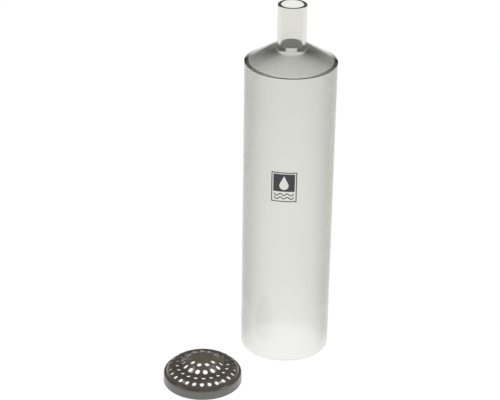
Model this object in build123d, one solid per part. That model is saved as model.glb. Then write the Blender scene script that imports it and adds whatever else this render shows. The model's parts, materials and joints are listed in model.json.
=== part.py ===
from build123d import *
import math
import os

# Suction tube of an aquarium gravel cleaner, with its strainer lying beside it.
# Millimetres, +Z up. The origin is on the tube's axis, in the plane of its open mouth,
# which is also the surface that the tube stands on and the strainer lies on.

# --- suction tube: a clear straight cylinder ---
tube_radius = 20.0
shoulder_height = 138.0  # from the mouth to the outer edge of the shoulder
mouth_bore_radius = 17.6
mouth_land_length = 12.0  # straight part of the bore at the mouth
throat_height = 24.0  # above the land the bore narrows up to here, and the strainer jams in it
bore_radius = 17.4  # from the throat up to the shoulder
mouth_edge_round = 0.15

# --- shoulder cap: a cone that thickens towards the neck, bonded to the end of the cylinder ---
cap_foot_height = 136.8  # plane of the bond with the cylinder
neck_height = 146.0  # where the cone meets the spigot
neck_foot_height = 141.8  # lower end of the neck hole, which the spigot is bonded into
shoulder_edge_round = 0.1

# --- hose spigot: a short clear tube for a hose of 12 mm bore ---
spigot_radius = 6.25
spigot_root_radius = 5.8  # the part inside the neck hole, below a step that stops it
spigot_bore_radius = 4.75
spigot_top = 163.5
spigot_edge_round = 0.35
spigot_foot_round = 1.5  # where its bore opens into the tube

# --- strainer: a moulded terraced dome on an upright skirt ---
strainer_place = (-36.6, -34.7)
skirt_foot_radius = 17.45
skirt_top_radius = 17.25
skirt_height = 4.5
skirt_round = 1.1
skirt_wall = 1.1
dome_wall = 1.0
underside_steps = 12  # cones that the dome's underside is made of
crown_height = 12.0
# radius and height of the dome's outer face: skirt, slope, terrace, steep step and crown
dome_outline = [(15.6, 5.4), (14.4, 6.5), (13.0, 7.25), (11.1, 7.3), (9.8, 7.7), (8.2, 9.0),
                (6.8, 10.15), (5.0, 11.1), (3.4, 11.6), (1.7, 11.9)]
# rows of holes, from the slope up to the crown: radius of the row, number of holes, bearing of
# the first one, radius of each
hole_rows = [(14.4, 27, -89.4, 0.98), (11.1, 20, -86.1, 1.0), (8.2, 15, -80.0, 1.12), (5.45, 10, -67.5, 1.08)]

# --- printed mark: an ink film on the front of the cylinder ---
ink_thickness = 0.05
mark_width = 11.0
mark_height = 14.0
mark_centre_height = 87.7
mark_bearing = -96.4
mark_line = 0.42  # width of the frame's line and of the waves
mark_gap = 0.45  # bare band between the frame and the panel
panel_height = 8.2
drop_radius = 2.0
drop_rise = 4.6  # from the middle of the drop's round part up to its tip
wave_count = 3
wave_length = 2.8
wave_rise = 0.42
wave_places = (0.25, 0.65)  # heights of the two waves, as shares of the strip under the panel


def turned(outline):
    """Solid of revolution about Z from a closed outline of (radius, height) points."""
    points = [(radius, 0, height) for radius, height in outline]
    return revolve(make_face(Polyline(*points, close=True)), Axis.Z)


def edges_at(solid, height, radius):
    """The circular edges of a turned solid at one height and radius."""
    circles = solid.edges().filter_by(GeomType.CIRCLE)
    return circles.filter_by(lambda edge: math.isclose(edge.radius, radius, abs_tol=1e-3)
                             and math.isclose(edge.arc_center.Z, height, abs_tol=1e-3))


def suction_tube():
    """Clear cylinder: open mouth below with a taper over it, square end for the cap above."""
    tube = turned([(mouth_bore_radius, 0), (tube_radius, 0), (tube_radius, cap_foot_height),
                   (bore_radius, cap_foot_height), (bore_radius, throat_height),
                   (mouth_bore_radius, mouth_land_length)])
    return fillet(edges_at(tube, 0, tube_radius) + edges_at(tube, 0, mouth_bore_radius), mouth_edge_round)


def underside_height(radius):
    """Height of the cap's underside, a cone from the cylinder's bore up to the spigot's bore."""
    share = (bore_radius - radius) / (bore_radius - spigot_bore_radius)
    return cap_foot_height + share * (neck_foot_height - cap_foot_height)


def shoulder_cap():
    """Conical cap, flatter inside than outside, with a round neck hole and a flat for the step."""
    hole_foot = (spigot_root_radius, underside_height(spigot_root_radius))
    cap = turned([(bore_radius, cap_foot_height), (tube_radius, cap_foot_height),
                  (tube_radius, shoulder_height), (spigot_radius, neck_height),
                  (spigot_root_radius, neck_height), hole_foot])
    return fillet(edges_at(cap, shoulder_height, tube_radius), shoulder_edge_round)


def hose_spigot():
    """Short tube with a step over a slimmer root, which ends level with the cap's underside."""
    root_foot = (spigot_root_radius, underside_height(spigot_root_radius))
    spigot = turned([(spigot_bore_radius, neck_foot_height), root_foot,
                     (spigot_root_radius, neck_height), (spigot_radius, neck_height),
                     (spigot_radius, spigot_top), (spigot_bore_radius, spigot_top)])
    rim = edges_at(spigot, spigot_top, spigot_radius) + edges_at(spigot, spigot_top, spigot_bore_radius)
    spigot = fillet(rim, spigot_edge_round)
    return fillet(edges_at(spigot, neck_foot_height, spigot_bore_radius), spigot_foot_round)


def strainer_shell():
    """Skirt and terraced dome before the holes, as one wall turned about the strainer's axis."""
    outer_corner = (skirt_top_radius - skirt_round, 0, skirt_height)
    outer_foot = (skirt_foot_radius, 0, 0)
    outer_shoulder = (skirt_top_radius, 0, skirt_height - skirt_round)
    crown = (0, 0, crown_height)
    face_points = [outer_corner] + [(radius, 0, height) for radius, height in dome_outline] + [crown]
    outer_face = Spline(*face_points)

    def inside(share):
        """A point under the outer face, one dome wall along the face's normal."""
        along = outer_face % share
        return outer_face @ share + Vector(along.Z, 0, -along.X) * -dome_wall

    under_points = [inside(step / underside_steps) for step in range(1, underside_steps)]
    under_crown = Vector(0, 0, crown_height - dome_wall)
    foot_inside = Vector(skirt_foot_radius - skirt_wall, 0, 0)
    skirt_inside = Vector(skirt_top_radius - skirt_wall, 0, skirt_height - skirt_round)
    under_face = Polyline(skirt_inside, *under_points, under_crown)
    bulge = skirt_round * (1 - math.sqrt(0.5))
    outer_round = (skirt_top_radius - bulge, 0, skirt_height - bulge)
    outline = [Line(foot_inside, outer_foot), Line(outer_foot, outer_shoulder),
               ThreePointArc(outer_shoulder, outer_round, outer_corner), outer_face,
               Line(crown, under_crown), under_face, Line(skirt_inside, foot_inside)]
    return revolve(make_face(outline), Axis.Z)


def strainer():
    """The dome with its rows of round holes, all parallel to the axis as the mould draws."""
    from_foot = (Align.CENTER, Align.CENTER, Align.MIN)
    pins = []
    for row_radius, count, first_bearing, hole_radius in hole_rows:
        pin = Cylinder(hole_radius, crown_height, align=from_foot)
        for index in range(count):
            bearing = math.radians(first_bearing + index * 360 / count)
            place = Pos(row_radius * math.cos(bearing), row_radius * math.sin(bearing), skirt_round)
            pins.append(place * pin)
    return Pos(*strainer_place, 0) * (strainer_shell() - pins)


def drop_outline():
    """Water drop: a round foot drawn up to a tip, by the two tangents from the tip."""
    spread = math.acos(drop_radius / drop_rise)
    left = Vector(-drop_radius * math.sin(spread), drop_radius * math.cos(spread))
    right = Vector(-left.X, left.Y)
    tip = Vector(0, drop_rise)
    foot = Vector(0, -drop_radius)
    return make_face([Line(tip, left), ThreePointArc(left, foot, right), Line(right, tip)])


def wave_line():
    """One wavy line of even width, three crests long."""
    half = wave_length / 2
    steps = range(2 * wave_count + 1)
    crests = [((step - wave_count) * half, wave_rise * (-1) ** step) for step in steps]
    return trace(Spline(*crests), mark_line)


def mark_drawing():
    """Flat drawing of the mark: a frame round a dark panel with a bare drop, over two waves."""
    outer = Rectangle(mark_width, mark_height)
    frame = outer - Rectangle(mark_width - 2 * mark_line, mark_height - 2 * mark_line)
    inset = mark_line + mark_gap
    panel_middle = mark_height / 2 - inset - panel_height / 2
    drop_middle = panel_middle - (drop_rise - drop_radius) / 2
    panel = Pos(0, panel_middle) * Rectangle(mark_width - 2 * inset, panel_height)
    panel -= Pos(0, drop_middle) * drop_outline()
    strip_foot = -mark_height / 2 + inset
    strip_top = panel_middle - panel_height / 2
    waves = [Pos(0, strip_foot + (strip_top - strip_foot) * share) * wave_line() for share in wave_places]
    return [frame, panel] + waves


def printed_mark():
    """The drawing as a thin film that lies on the cylinder."""
    film = Cylinder(tube_radius + ink_thickness, mark_height) - Cylinder(tube_radius, mark_height)
    pieces = []
    for shape in mark_drawing():
        block = extrude(Plane.XZ * shape, 2 * tube_radius)
        pieces += (film & block).solids()
    mark = Compound(children=pieces)
    return Pos(0, 0, mark_centre_height) * Rot(0, 0, mark_bearing + 90) * mark


os.makedirs("parts", exist_ok=True)
export_step(suction_tube(), "parts/suction_tube.step")
export_step(shoulder_cap(), "parts/shoulder_cap.step")
export_step(hose_spigot(), "parts/hose_spigot.step")
export_step(strainer(), "parts/strainer.step")
export_step(printed_mark(), "parts/printed_mark.step")
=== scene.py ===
import json
import math
from collections import namedtuple

import bmesh
import bpy
from mathutils import Matrix, Vector


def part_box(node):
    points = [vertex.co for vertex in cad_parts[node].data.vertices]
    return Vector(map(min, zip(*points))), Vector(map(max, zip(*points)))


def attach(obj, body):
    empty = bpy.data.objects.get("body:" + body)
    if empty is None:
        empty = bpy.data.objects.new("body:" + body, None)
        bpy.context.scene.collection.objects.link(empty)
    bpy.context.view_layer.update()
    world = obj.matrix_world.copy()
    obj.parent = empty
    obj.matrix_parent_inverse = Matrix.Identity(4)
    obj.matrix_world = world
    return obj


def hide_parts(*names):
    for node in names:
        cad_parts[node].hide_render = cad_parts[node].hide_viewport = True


# Clear suction tube of an aquarium gravel cleaner, with its charcoal strainer beside it.
# Metres, in the CAD frame: +Z up, origin on the tube's axis in the plane of its open mouth.

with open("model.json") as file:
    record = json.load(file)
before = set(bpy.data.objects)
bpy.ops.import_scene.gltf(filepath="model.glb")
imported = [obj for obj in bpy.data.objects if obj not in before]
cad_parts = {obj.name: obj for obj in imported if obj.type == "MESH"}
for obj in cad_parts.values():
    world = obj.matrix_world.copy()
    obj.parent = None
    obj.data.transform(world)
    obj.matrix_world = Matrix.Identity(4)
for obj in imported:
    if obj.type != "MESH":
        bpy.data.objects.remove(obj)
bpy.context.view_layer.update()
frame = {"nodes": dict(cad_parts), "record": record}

MM = 0.001


def mount_radius(name):
    """Radius in metres of one of the record's round mounts."""
    found = [mount for mount in frame["record"]["mounts"] if mount["name"] == name]
    return found[0]["dims"]["r_mm"] * MM


# --- sizes that the frame gives ---
TUBE_LOW, TUBE_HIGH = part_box("suction_tube")
CAP_LOW, CAP_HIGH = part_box("shoulder_cap")
SPIGOT_LOW, SPIGOT_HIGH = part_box("hose_spigot")
STRAINER_LOW, STRAINER_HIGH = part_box("strainer")
TUBE_RADIUS = (TUBE_HIGH.x - TUBE_LOW.x) / 2
CAP_FOOT_HEIGHT = CAP_LOW.z
NECK_HEIGHT = CAP_HIGH.z
NECK_FOOT_HEIGHT = SPIGOT_LOW.z
SPIGOT_TOP = SPIGOT_HIGH.z
SPIGOT_RADIUS = mount_radius("hose_spigot")
MOUTH_BORE_RADIUS = mount_radius("suction_mouth")
STRAINER_MIDDLE = (STRAINER_LOW + STRAINER_HIGH) / 2
SKIRT_FOOT_RADIUS = (STRAINER_HIGH.x - STRAINER_LOW.x) / 2
CROWN_HEIGHT = STRAINER_HIGH.z

# --- clear body: tube, shoulder cap and spigot, bonded so that no joint shows ---
SHOULDER_HEIGHT = 138.0 * MM
MOUTH_LAND_LENGTH = 12.0 * MM
THROAT_HEIGHT = 24.0 * MM
BORE_RADIUS = 17.4 * MM
SPIGOT_BORE_RADIUS = 4.75 * MM
MOUTH_ROUND = 0.15 * MM
SHOULDER_ROUND = 0.1 * MM
SPIGOT_ROUND = 0.35 * MM
SPIGOT_FOOT_ROUND = 1.5 * MM
CLEAR_SEGMENTS = 256

# --- strainer, about its own axis ---
SKIRT_TOP_RADIUS = 17.25 * MM
SKIRT_HEIGHT = 4.5 * MM
SKIRT_ROUND = 1.1 * MM
SKIRT_WALL = 1.1 * MM
DOME_WALL = 1.0 * MM
FOOT_ROUND = 0.12 * MM
# radius and height in millimetres of the outer face, from the crown out to the slope's foot
DOME_OUTLINE = [(1.7, 11.9), (3.4, 11.6), (5.0, 11.1), (6.8, 10.15), (8.2, 9.0),
                (9.8, 7.7), (11.1, 7.3), (13.0, 7.25), (14.4, 6.5), (15.6, 5.4)]
DOME_FOOT_SLOPE = -1.5  # slope of the outer face where it meets the skirt's rim
UNDER_FOOT_SLOPE = -2.0  # slope of the inner face there
HOLE_ROUND = 0.12 * MM
# a row of holes in millimetres and degrees: inner and outer limit of its band, radius of the holes'
# centres, number of holes, bearing of the first one, mesh steps along a cell's arcs, holes' radius
HoleRow = namedtuple("HoleRow", "low high radius count first_bearing steps hole_radius")
HOLE_ROWS = [HoleRow(12.81, 15.85, 14.4, 27, -89.4, 8, 0.98),
             HoleRow(9.71, 12.69, 11.1, 20, -86.1, 10, 1.0),
             HoleRow(6.88, 9.59, 8.2, 15, -80.0, 12, 1.12),
             HoleRow(3.95, 6.76, 5.45, 10, -67.5, 14, 1.08)]
CELL_SIDE_STEPS = 6
CELL_SHARES = (1.0, 0.55, 0.2, 0.0)  # a cell's rings, from its border in to the hole's lip
LIP_TURNS = tuple(math.radians(angle) for angle in (30, 60, 90))  # rings round the rounded lip
SLOPE_STEPS = 4
RIM_STEPS = 9
CROWN_RINGS = [(2.9, 70), (1.8, 35), (0.8, 14)]  # radius in millimetres, number of points

# --- shading: edges that bend more than this, in degrees, stay sharp ---
CLEAR_SHARP = 28
STRAINER_SHARP = 50
MERGE_DISTANCE = 1e-7

# --- camera ---
CAMERA_PLACE = (-0.01667, -0.64345, 0.39314)
CAMERA_PITCH = 0.463559  # below the horizontal, in radians
CAMERA_ROLL = 0.0140897
CAMERA_LENS = 116.75
CAMERA_SENSOR = 36.0
CAMERA_NEAR = 0.01


# ---------------------------------------------------------------- meshes

def rounded(corners, steps=5):
    """Closed outline of (radius, height) points from (radius, height, rounding) corners."""
    points = []
    for index, (radius, height, rounding) in enumerate(corners):
        corner = Vector((radius, height, 0))
        if not rounding:
            points.append((radius, height))
            continue
        back = (Vector((*corners[index - 1][:2], 0)) - corner).normalized()
        ahead = (Vector((*corners[(index + 1) % len(corners)][:2], 0)) - corner).normalized()
        half = back.angle(ahead) / 2
        centre = corner + (back + ahead).normalized() * (rounding / math.sin(half))
        first = corner + back * (rounding / math.tan(half)) - centre
        last = corner + ahead * (rounding / math.tan(half)) - centre
        axis = first.cross(last).normalized()
        for step in range(steps + 1):
            spoke = Matrix.Rotation(first.angle(last) * step / steps, 3, axis) @ first
            points.append((centre.x + spoke.x, centre.y + spoke.y))
    return points


def supported(outline, near=0.06 * MM, run=6 * MM):
    """Adds points beside each corner and along long runs, which keep smooth normals true."""
    points = []
    for index, start in enumerate(outline):
        first, last = Vector(start), Vector(outline[(index + 1) % len(outline)])
        length = (last - first).length
        points.append(start)
        if length > 6 * near:
            count = max(1, int(length / run))
            places = [near] + [length * step / count for step in range(1, count)] + [length - near]
            points += [tuple(first.lerp(last, place / length)) for place in places]
    return points


def ring(bm, radius, height, count, bearing=0.0):
    """Vertices of one level circle about Z, from a bearing in radians."""
    angles = [bearing + 2 * math.pi * step / count for step in range(count)]
    points = [(radius * math.cos(angle), radius * math.sin(angle), height) for angle in angles]
    return [bm.verts.new(point) for point in points]


def bridge(bm, first, second, closed=True):
    """Quads between two lists of vertices of one length."""
    for index in range(len(first) if closed else len(first) - 1):
        other = (index + 1) % len(first)
        bm.faces.new((first[index], first[other], second[other], second[index]))


def finished(bm, name, sharp_degrees):
    """Mesh object from bm: merged, facing outwards, smooth, with its sharp edges marked."""
    bmesh.ops.remove_doubles(bm, verts=bm.verts, dist=MERGE_DISTANCE)
    bmesh.ops.recalc_face_normals(bm, faces=bm.faces)
    for face in bm.faces:
        face.smooth = True
    for edge in bm.edges:
        if edge.calc_face_angle(0) > math.radians(sharp_degrees):
            edge.smooth = False
    mesh = bpy.data.meshes.new(name)
    bm.to_mesh(mesh)
    bm.free()
    piece = bpy.data.objects.new(name, mesh)
    bpy.context.collection.objects.link(piece)
    return piece


def make_clear_body():
    """The whole clear wall as one turned skin, as light sees it: the bonds don't show."""
    corners = [(MOUTH_BORE_RADIUS, 0, MOUTH_ROUND), (TUBE_RADIUS, 0, MOUTH_ROUND),
               (TUBE_RADIUS, SHOULDER_HEIGHT, SHOULDER_ROUND), (SPIGOT_RADIUS, NECK_HEIGHT, 0),
               (SPIGOT_RADIUS, SPIGOT_TOP, SPIGOT_ROUND),
               (SPIGOT_BORE_RADIUS, SPIGOT_TOP, SPIGOT_ROUND),
               (SPIGOT_BORE_RADIUS, NECK_FOOT_HEIGHT, SPIGOT_FOOT_ROUND),
               (BORE_RADIUS, CAP_FOOT_HEIGHT, 0),
               (BORE_RADIUS, THROAT_HEIGHT, 0), (MOUTH_BORE_RADIUS, MOUTH_LAND_LENGTH, 0)]
    bm = bmesh.new()
    rings = [ring(bm, radius, height, CLEAR_SEGMENTS) for radius, height in supported(rounded(corners))]
    for index, points in enumerate(rings):
        bridge(bm, points, rings[(index + 1) % len(rings)])
    return finished(bm, "clear_body", CLEAR_SHARP)


def knot_slopes(knots, last_slope):
    """Slope of a smooth curve at each of its points, level at the first one."""
    slopes = [0.0]
    for before, here, after in zip(knots, knots[1:], knots[2:]):
        left = (here[1] - before[1]) / (here[0] - before[0])
        right = (after[1] - here[1]) / (after[0] - here[0])
        share = (here[0] - before[0]) / (after[0] - before[0])
        slopes.append(left * (1 - share) + right * share)
    return slopes + [last_slope]


def height_on(knots, slopes, radius):
    """Height at a radius of the cubic curve through the knots."""
    index = max(i for i in range(len(knots) - 1) if knots[i][0] <= radius or i == 0)
    (start, low), (end, high) = knots[index], knots[index + 1]
    length = end - start
    t = (radius - start) / length
    return ((2 * t**3 - 3 * t**2 + 1) * low + (t**3 - 2 * t**2 + t) * length * slopes[index]
            + (3 * t**2 - 2 * t**3) * high + (t**3 - t**2) * length * slopes[index + 1])


DOME_KNOTS = ([(0.0, CROWN_HEIGHT)] + [(radius * MM, height * MM) for radius, height in DOME_OUTLINE]
              + [(SKIRT_TOP_RADIUS - SKIRT_ROUND, SKIRT_HEIGHT)])
DOME_SLOPES = knot_slopes(DOME_KNOTS, DOME_FOOT_SLOPE)


def under_knots():
    """Points one wall under the dome's outer face, from the crown out to the skirt's wall."""
    knots = []
    for (radius, height), slope in zip(DOME_KNOTS[:-1], DOME_SLOPES[:-1]):
        share = DOME_WALL / math.hypot(1, slope)
        knots.append((radius + slope * share, height - share))
    return knots + [(SKIRT_TOP_RADIUS - SKIRT_WALL, SKIRT_HEIGHT - SKIRT_ROUND)]


UNDER_KNOTS = under_knots()
UNDER_SLOPES = knot_slopes(UNDER_KNOTS, UNDER_FOOT_SLOPE)


def top_height(radius):
    return height_on(DOME_KNOTS, DOME_SLOPES, radius)


def under_height(radius):
    return height_on(UNDER_KNOTS, UNDER_SLOPES, radius)


def cell_border(low, high, bearing, half, steps):
    """Plan points round one hole's cell: inner arc, side, outer arc and side."""
    across = [bearing - half + 2 * half * step / steps for step in range(steps)]
    back = [bearing + half - 2 * half * step / steps for step in range(steps)]
    rise = [low + (high - low) * step / CELL_SIDE_STEPS for step in range(CELL_SIDE_STEPS)]
    fall = [high - (high - low) * step / CELL_SIDE_STEPS for step in range(CELL_SIDE_STEPS)]
    polar = ([(low, angle) for angle in across] + [(radius, bearing + half) for radius in rise]
             + [(high, angle) for angle in back] + [(radius, bearing - half) for radius in fall])
    return [Vector((radius * math.cos(angle), radius * math.sin(angle))) for radius, angle in polar]


def add_cell(bm, border, centre, hole_radius):
    """One hole with rounded lips in its patch of the dome, through from top to underside."""
    spokes = [(point - centre).normalized() for point in border]
    lip = [centre + spoke * (hole_radius + HOLE_ROUND) for spoke in spokes]
    layers = []
    for share in CELL_SHARES:
        plan = [near.lerp(far, share) for near, far in zip(lip, border)]
        layers.append((plan, [top_height(point.length) for point in plan]))
    for turn in LIP_TURNS:
        plan = [centre + spoke * (hole_radius + HOLE_ROUND * (1 - math.sin(turn))) for spoke in spokes]
        drop = HOLE_ROUND * (1 - math.cos(turn))
        layers.append((plan, [top_height(point.length) - drop for point in plan]))
    for turn in reversed(LIP_TURNS):
        plan = [centre + spoke * (hole_radius + HOLE_ROUND * (1 - math.sin(turn))) for spoke in spokes]
        lift = HOLE_ROUND * (1 - math.cos(turn))
        layers.append((plan, [under_height(point.length) + lift for point in plan]))
    for share in reversed(CELL_SHARES):
        plan = [near.lerp(far, share) for near, far in zip(lip, border)]
        layers.append((plan, [under_height(point.length) for point in plan]))
    rows = []
    for plan, heights in layers:
        rows.append([bm.verts.new((*point, height)) for point, height in zip(plan, heights)])
    for first, second in zip(rows, rows[1:]):
        bridge(bm, first, second)


def zip_rings(bm, outer, inner):
    """Triangles between two circles with different numbers of vertices, by bearing."""
    def bearing(vert):
        return math.atan2(vert.co.y, vert.co.x)

    outer, inner = sorted(outer, key=bearing), sorted(inner, key=bearing)
    ends = [points + points[:1] for points in (outer, inner)]
    angles = []
    for points in (outer, inner):
        angles.append([bearing(vert) for vert in points] + [bearing(points[0]) + 2 * math.pi])
    i = j = 0
    while i < len(outer) or j < len(inner):
        step_outer = j == len(inner) or (i < len(outer) and angles[0][i + 1] <= angles[1][j + 1])
        if step_outer:
            bm.faces.new((ends[0][i], ends[0][i + 1], ends[1][j]))
            i += 1
        else:
            bm.faces.new((ends[0][i], ends[1][j + 1], ends[1][j]))
            j += 1


def row_start(row):
    """Bearing of a row's first cell border."""
    return math.radians(row.first_bearing) - math.pi / row.count


def band_ring(bm, row, radius, height):
    """Level circle whose vertices lie at the same bearings as those of a row's cells."""
    return ring(bm, radius, height, row.count * row.steps, row_start(row))


def add_seams(bm, height):
    """Narrow strips between the rows' bands and the rings up to the crown, on one face."""
    for row, inner_row in zip(HOLE_ROWS, HOLE_ROWS[1:]):
        low, high = row.low * MM, inner_row.high * MM
        outer = band_ring(bm, row, low, height(low))
        inner = band_ring(bm, inner_row, high, height(high))
        zip_rings(bm, outer, inner)
    last = HOLE_ROWS[-1]
    outer = band_ring(bm, last, last.low * MM, height(last.low * MM))
    for radius, count in CROWN_RINGS:
        inner = ring(bm, radius * MM, height(radius * MM), count, row_start(last))
        zip_rings(bm, outer, inner)
        outer = inner
    middle = bm.verts.new((0, 0, height(0)))
    for index, vert in enumerate(outer):
        bm.faces.new((vert, outer[(index + 1) % len(outer)], middle))


def add_skirt(bm):
    """Rounded rim and skirt, from the first row's band on top round to its underside."""
    row = HOLE_ROWS[0]
    edge = row.high * MM
    corner = SKIRT_TOP_RADIUS - SKIRT_ROUND
    out = [edge + (corner - edge) * step / SLOPE_STEPS for step in range(SLOPE_STEPS + 1)]
    slope = [(radius, top_height(radius)) for radius in out]
    rim = []
    for step in range(1, RIM_STEPS + 1):
        turn = math.pi / 2 * step / RIM_STEPS
        height = SKIRT_HEIGHT - SKIRT_ROUND * (1 - math.cos(turn))
        rim.append((corner + SKIRT_ROUND * math.sin(turn), height))
    inside_top = SKIRT_TOP_RADIUS - SKIRT_WALL
    corners = [(*rim[-1], 0), (SKIRT_FOOT_RADIUS, 0, FOOT_ROUND),
               (SKIRT_FOOT_RADIUS - SKIRT_WALL, 0, FOOT_ROUND),
               (inside_top, SKIRT_HEIGHT - SKIRT_ROUND, 0)]
    wall = supported(rounded(corners))
    wall = wall[:wall.index((inside_top, SKIRT_HEIGHT - SKIRT_ROUND)) + 1]
    back = [inside_top + (edge - inside_top) * step / SLOPE_STEPS for step in range(1, SLOPE_STEPS + 1)]
    under = [(radius, under_height(radius)) for radius in back]
    outline = slope + rim[:-1] + wall + under
    rings = [band_ring(bm, row, radius, height) for radius, height in outline]
    for first, second in zip(rings, rings[1:]):
        bridge(bm, first, second)


def make_strainer():
    """Perforated dome on its skirt, with every hole's lips rounded."""
    bm = bmesh.new()
    for row in HOLE_ROWS:
        radius = row.radius * MM
        for index in range(row.count):
            bearing = math.radians(row.first_bearing + index * 360 / row.count)
            border = cell_border(row.low * MM, row.high * MM, bearing, math.pi / row.count, row.steps)
            centre = Vector((radius * math.cos(bearing), radius * math.sin(bearing)))
            add_cell(bm, border, centre, row.hole_radius * MM)
    add_seams(bm, top_height)
    add_seams(bm, under_height)
    add_skirt(bm)
    bmesh.ops.translate(bm, verts=bm.verts, vec=(STRAINER_MIDDLE.x, STRAINER_MIDDLE.y, 0))
    return finished(bm, "strainer_dome", STRAINER_SHARP)


# ---------------------------------------------------------------- materials

class Nodes:
    """A material with its Principled shader, and short ways to add and link nodes."""

    def __init__(self, name):
        self.material = bpy.data.materials.new(name)
        self.material.use_nodes = True
        self.tree = self.material.node_tree
        self.shader = self.tree.nodes["Principled BSDF"]
        self.output = self.tree.nodes["Material Output"]
        self.place = self.add("ShaderNodeTexCoord").outputs["Object"]

    def add(self, kind, **settings):
        node = self.tree.nodes.new(kind)
        for name, value in settings.items():
            setattr(node, name, value)
        return node

    def feed(self, socket, value):
        """Links an output to a socket, or sets a plain value on it."""
        if isinstance(value, bpy.types.NodeSocket):
            self.tree.links.new(value, socket)
        else:
            socket.default_value = value

    def math(self, operation, *values):
        """Output of one arithmetic node on outputs or plain values."""
        node = self.add("ShaderNodeMath", operation=operation)
        for socket, value in zip(node.inputs, values):
            self.feed(socket, value)
        return node.outputs[0]

    def stretched(self, scale):
        """Object coordinates, in metres, multiplied by scale."""
        node = self.add("ShaderNodeMapping")
        self.feed(node.inputs["Vector"], self.place)
        node.inputs["Scale"].default_value = scale
        return node.outputs[0]

    def noise(self, scale, detail=3.0, stretch=(1, 1, 1)):
        node = self.add("ShaderNodeTexNoise")
        self.feed(node.inputs["Vector"], self.stretched(stretch))
        node.inputs["Scale"].default_value = scale
        node.inputs["Detail"].default_value = detail
        return node.outputs["Fac"]

    def range(self, value, low, high, start=0.3, end=0.7):
        """Maps value, from start to end, onto low to high."""
        node = self.add("ShaderNodeMapRange")
        self.feed(node.inputs["Value"], value)
        node.inputs["From Min"].default_value = start
        node.inputs["From Max"].default_value = end
        self.feed(node.inputs["To Min"], low)
        self.feed(node.inputs["To Max"], high)
        return node.outputs["Result"]

    def mix(self, factor, first, second):
        """Colour between two outputs or plain (red, green, blue) colours."""
        node = self.add("ShaderNodeMix", data_type="RGBA")
        self.feed(node.inputs["Factor"], factor)
        self.feed(node.inputs[6], (*first, 1) if isinstance(first, tuple) else first)
        self.feed(node.inputs[7], (*second, 1) if isinstance(second, tuple) else second)
        return node.outputs[2]

    def bump(self, height, distance, strength):
        node = self.add("ShaderNodeBump")
        self.feed(node.inputs["Height"], height)
        node.inputs["Distance"].default_value = distance
        node.inputs["Strength"].default_value = strength
        self.feed(self.shader.inputs["Normal"], node.outputs["Normal"])


# --- clear plastic: roughnesses with the spread of their mottling, and its tint, painted paler towards the floor as painted light ---
CLEAR_IOR = 1.49
ABSORPTION_COLOUR = (0.62, 0.63, 0.57)
ABSORPTION_DENSITY = 130.0
POLISHED, POLISHED_SPREAD = 0.02, 0.01
TUBE_HAZE, TUBE_HAZE_SPREAD = 0.32, 0.015
CAP_HAZE, CAP_HAZE_SPREAD = 0.30, 0.03
SPIGOT_TINT = (0.90, 0.90, 0.875)
# painted light: the tube's colour is paler near the floor than higher up
FLOOR_LIT_TINT = (1.0, 1.0, 0.985)
HIGH_TINT = (0.945, 0.945, 0.93)
FLOOR_LIGHT_HEIGHT = 60.0 * MM
HAZE_MARGIN = 0.2 * MM  # bare polished strip of the bore beside the inner corner
CAP_MARGIN = 0.2 * MM  # the same on the cap's underside

# --- charcoal plastic and ink: darker and paler shade of each mottle, range of each roughness ---
# painted light: the skirt's shades are paler, standing for light from the floor; the rim's round takes
# the dome's darker shades as painted shade
LIT_SKIRT_SHADES = ((0.185, 0.183, 0.176), (0.225, 0.223, 0.215))
DOME_SHADES = ((0.155, 0.132, 0.103), (0.20, 0.175, 0.14))
# painted light: the crown's paler shades stand for light falling on the top of the dome
CROWN_LIT_SHADES = ((0.26, 0.225, 0.175), (0.31, 0.27, 0.215))
CROWN_LIGHT_DEPTH = 4 * MM  # the dome turns into the crown's painted light over this height
CHARCOAL_ROUGHNESS = (0.13, 0.20)
CHARCOAL_IOR = 1.5
CHARCOAL_GRAIN = 0.00002
INK_SHADES = ((0.045, 0.047, 0.055), (0.085, 0.087, 0.09))
INK_ROUGHNESS = (0.45, 0.65)
INK_GRAIN = 0.00001


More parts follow.
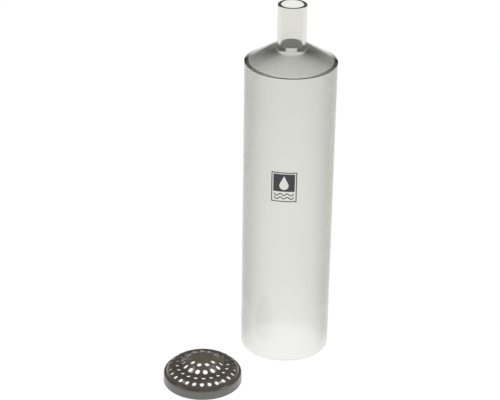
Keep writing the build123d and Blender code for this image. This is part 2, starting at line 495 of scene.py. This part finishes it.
def clear_plastic():
    """Clear plastic: polished outside and in the spigot, faintly hazy on the moulded inside."""
    nodes = Nodes("clear_acrylic")
    split = nodes.add("ShaderNodeSeparateXYZ")
    nodes.feed(split.inputs[0], nodes.place)
    height = split.outputs["Z"]
    radius = nodes.math("SQRT", nodes.math("ADD", nodes.math("POWER", split.outputs["X"], 2.0),
                                           nodes.math("POWER", split.outputs["Y"], 2.0)))
    # the cap's outer cone: its height at the axis, so that inside is what lies well under it
    fall = (NECK_HEIGHT - SHOULDER_HEIGHT) / (TUBE_RADIUS - SPIGOT_RADIUS)
    cone = nodes.math("MULTIPLY_ADD", radius, fall, height)
    under_cone = nodes.math("LESS_THAN", cone, SHOULDER_HEIGHT + fall * TUBE_RADIUS - MM)
    in_bore = nodes.math("LESS_THAN", radius, (TUBE_RADIUS + BORE_RADIUS) / 2)
    past_spigot = nodes.math("GREATER_THAN", radius, SPIGOT_BORE_RADIUS + HAZE_MARGIN)
    below = nodes.math("LESS_THAN", height, CAP_FOOT_HEIGHT - HAZE_MARGIN)
    inward = nodes.math("LESS_THAN", radius, BORE_RADIUS - CAP_MARGIN)
    hazy = nodes.math("MULTIPLY", nodes.math("MULTIPLY", under_cone, in_bore),
                      nodes.math("MULTIPLY", past_spigot, nodes.math("MAXIMUM", below, inward)))
    streaks = nodes.noise(900, 2.0, (1, 1, 0.05))
    clouds = nodes.noise(90)
    tube_haze = nodes.range(streaks, TUBE_HAZE - TUBE_HAZE_SPREAD, TUBE_HAZE + TUBE_HAZE_SPREAD)
    cap_haze = nodes.range(clouds, CAP_HAZE - CAP_HAZE_SPREAD, CAP_HAZE + CAP_HAZE_SPREAD)
    in_cap = nodes.math("GREATER_THAN", height, CAP_FOOT_HEIGHT)
    inside = nodes.add("ShaderNodeMix", data_type="FLOAT")
    nodes.feed(inside.inputs[0], in_cap)
    nodes.feed(inside.inputs[2], tube_haze)
    nodes.feed(inside.inputs[3], cap_haze)
    smears = nodes.noise(260, 4.0)
    polish = nodes.range(smears, POLISHED - POLISHED_SPREAD, POLISHED + POLISHED_SPREAD)
    roughness = nodes.add("ShaderNodeMix", data_type="FLOAT")
    nodes.feed(roughness.inputs[0], hazy)
    nodes.feed(roughness.inputs[2], polish)
    nodes.feed(roughness.inputs[3], inside.outputs[0])
    nodes.feed(nodes.shader.inputs["Roughness"], roughness.outputs[0])
    in_spigot = nodes.math("GREATER_THAN", height, NECK_HEIGHT)
    # painted light: paler near the floor, fading to the plain tint between these heights
    rise = nodes.range(height, 0.0, 1.0, FLOOR_LIGHT_HEIGHT, CAP_FOOT_HEIGHT)
    body_tint_and_floor_light = nodes.mix(rise, FLOOR_LIT_TINT, HIGH_TINT)
    nodes.feed(nodes.shader.inputs["Base Color"], nodes.mix(in_spigot, body_tint_and_floor_light, SPIGOT_TINT))
    nodes.shader.inputs["Transmission Weight"].default_value = 1.0
    nodes.shader.inputs["IOR"].default_value = CLEAR_IOR
    absorption = nodes.add("ShaderNodeVolumeAbsorption")
    absorption.inputs["Color"].default_value = (*ABSORPTION_COLOUR, 1)
    absorption.inputs["Density"].default_value = ABSORPTION_DENSITY
    nodes.feed(nodes.output.inputs["Volume"], absorption.outputs[0])
    return nodes.material


def charcoal_plastic():
    """Charcoal moulding: glossy and grained, neutral on the skirt, warmer on the dome; the skirt is
    painted paler than the rim's round as painted light from the floor, the rim's round takes the dome's
    darker colour as painted shade, and the crown is painted paler as painted light from above.
    """
    nodes = Nodes("charcoal_plastic")
    shade = nodes.range(nodes.noise(220, 4.0), 0.0, 1.0)
    split = nodes.add("ShaderNodeSeparateXYZ")
    nodes.feed(split.inputs[0], nodes.place)
    # painted light and shade: the skirt below the rim's round takes the paler shades, while the round
    # and the dome take the darker ones
    above_lit_skirt = nodes.range(split.outputs["Z"], 0.0, 1.0, SKIRT_HEIGHT - SKIRT_ROUND, SKIRT_HEIGHT)
    # painted light: the dome is painted paler towards the crown
    crown_light_mask = nodes.range(split.outputs["Z"], 0.0, 1.0, CROWN_HEIGHT - CROWN_LIGHT_DEPTH, CROWN_HEIGHT)
    lit_skirt_shade = nodes.mix(shade, *LIT_SKIRT_SHADES)
    dome_shade = nodes.mix(shade, *DOME_SHADES)
    lit_crown_shade = nodes.mix(shade, *CROWN_LIT_SHADES)
    dome_and_crown_light = nodes.mix(crown_light_mask, dome_shade, lit_crown_shade)
    nodes.feed(nodes.shader.inputs["Base Color"], nodes.mix(above_lit_skirt, lit_skirt_shade, dome_and_crown_light))
    nodes.feed(nodes.shader.inputs["Roughness"], nodes.range(nodes.noise(1400), *CHARCOAL_ROUGHNESS))
    nodes.shader.inputs["IOR"].default_value = CHARCOAL_IOR
    nodes.bump(nodes.noise(4200), CHARCOAL_GRAIN, 0.5)
    return nodes.material


def dark_ink():
    """Screen-printed ink: nearly black and dull, with a faint mottle."""
    nodes = Nodes("dark_ink")
    mottle = nodes.range(nodes.noise(1800, 4.0), 0.0, 1.0, 0.4, 0.75)
    nodes.feed(nodes.shader.inputs["Base Color"], nodes.mix(mottle, *INK_SHADES))
    nodes.feed(nodes.shader.inputs["Roughness"], nodes.range(nodes.noise(2600, 2.0), *INK_ROUGHNESS))
    nodes.bump(nodes.noise(5200, 2.0), INK_GRAIN, 0.4)
    return nodes.material


# ---------------------------------------------------------------- stage

FLOOR_HALF = 6.0
FLOOR_SHADE = 0.25
FLOOR_ROUGHNESS = 0.6
FLOOR_GLOW = 0.96
WORLD_STRENGTH = 0.75
HORIZON_LIGHT = 1.3
HORIZON_TOP = 0.04  # the bright band ends here, as the height of a direction of length one
SKY_LIGHT = 0.08
SKY_FOOT = 0.13  # and the dim ceiling begins here
OBJECT_MIDDLE = (0, 0, 0.05)
LAMP_SIZE = 0.25


def make_floor():
    """Wide plain surface that glows, as a brightly lit white sweep does."""
    mesh = bpy.data.meshes.new("floor")
    corners = [(-1, -1), (1, -1), (1, 1), (-1, 1)]
    mesh.from_pydata([(x * FLOOR_HALF, y * FLOOR_HALF, 0) for x, y in corners], [], [(0, 1, 2, 3)])
    floor = bpy.data.objects.new("floor", mesh)
    bpy.context.collection.objects.link(floor)
    nodes = Nodes("pale_floor")
    nodes.shader.inputs["Base Color"].default_value = (FLOOR_SHADE, FLOOR_SHADE, FLOOR_SHADE, 1)
    nodes.shader.inputs["Roughness"].default_value = FLOOR_ROUGHNESS
    nodes.shader.inputs["Emission Color"].default_value = (1, 1, 1, 1)
    nodes.shader.inputs["Emission Strength"].default_value = FLOOR_GLOW
    mesh.materials.append(nodes.material)


def make_world():
    """Studio light: a bright band at the horizon under a dim ceiling."""
    world = bpy.data.worlds.new("studio")
    bpy.context.scene.world = world
    world.use_nodes = True
    tree = world.node_tree
    place = tree.nodes.new("ShaderNodeTexCoord")
    split = tree.nodes.new("ShaderNodeSeparateXYZ")
    ramp = tree.nodes.new("ShaderNodeMapRange")
    ramp.interpolation_type = "SMOOTHSTEP"
    ramp.inputs["From Min"].default_value = HORIZON_TOP
    ramp.inputs["From Max"].default_value = SKY_FOOT
    ramp.inputs["To Min"].default_value = HORIZON_LIGHT
    ramp.inputs["To Max"].default_value = SKY_LIGHT
    tree.links.new(place.outputs["Generated"], split.inputs[0])
    tree.links.new(split.outputs["Z"], ramp.inputs["Value"])
    background = tree.nodes["Background"]
    tree.links.new(ramp.outputs["Result"], background.inputs["Color"])
    background.inputs["Strength"].default_value = WORLD_STRENGTH


def make_lamp(name, place, brightness):
    """Soft square lamp of a given surface brightness, aimed at the object."""
    lamp = bpy.data.lights.new(name, "AREA")
    lamp.shape = "RECTANGLE"
    lamp.size = LAMP_SIZE
    lamp.size_y = LAMP_SIZE
    lamp.energy = brightness * math.pi * LAMP_SIZE**2
    holder = bpy.data.objects.new(name, lamp)
    holder.location = place
    holder.rotation_euler = (Vector(OBJECT_MIDDLE) - Vector(place)).to_track_quat("-Z", "Y").to_euler()
    bpy.context.collection.objects.link(holder)


def make_camera():
    camera = bpy.data.cameras.new("camera")
    camera.lens = CAMERA_LENS
    camera.sensor_width = CAMERA_SENSOR
    camera.clip_start = CAMERA_NEAR
    holder = bpy.data.objects.new("camera", camera)
    bpy.context.collection.objects.link(holder)
    tilt = Matrix.Rotation(math.pi / 2 - CAMERA_PITCH, 4, "X")
    roll = Matrix.Rotation(CAMERA_ROLL, 4, "Z")
    holder.matrix_world = Matrix.Translation(CAMERA_PLACE) @ tilt @ roll
    bpy.context.scene.camera = holder


def set_scene():
    """Plain colour response, and enough bounces for light in the clear walls."""
    scene = bpy.context.scene
    scene.view_settings.view_transform = "Standard"
    scene.cycles.max_bounces = 24
    scene.cycles.transmission_bounces = 24
    scene.cycles.glossy_bounces = 12
    scene.cycles.transparent_max_bounces = 32


make_camera()
make_floor()
make_world()
make_lamp("left_lamp", (-0.72, -0.15, 0.80), 9.0)
make_lamp("right_lamp", (0.62, -0.15, 0.80), 13.0)
set_scene()

clear_body = make_clear_body()
clear_body.data.materials.append(clear_plastic())
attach(clear_body, "tube")
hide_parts("suction_tube", "shoulder_cap", "hose_spigot")

strainer_dome = make_strainer()
strainer_dome.data.materials.append(charcoal_plastic())
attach(strainer_dome, "strainer")
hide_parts("strainer")

ink = dark_ink()
for material_slot in frame["nodes"]["printed_mark"].material_slots:
    material_slot.material = ink
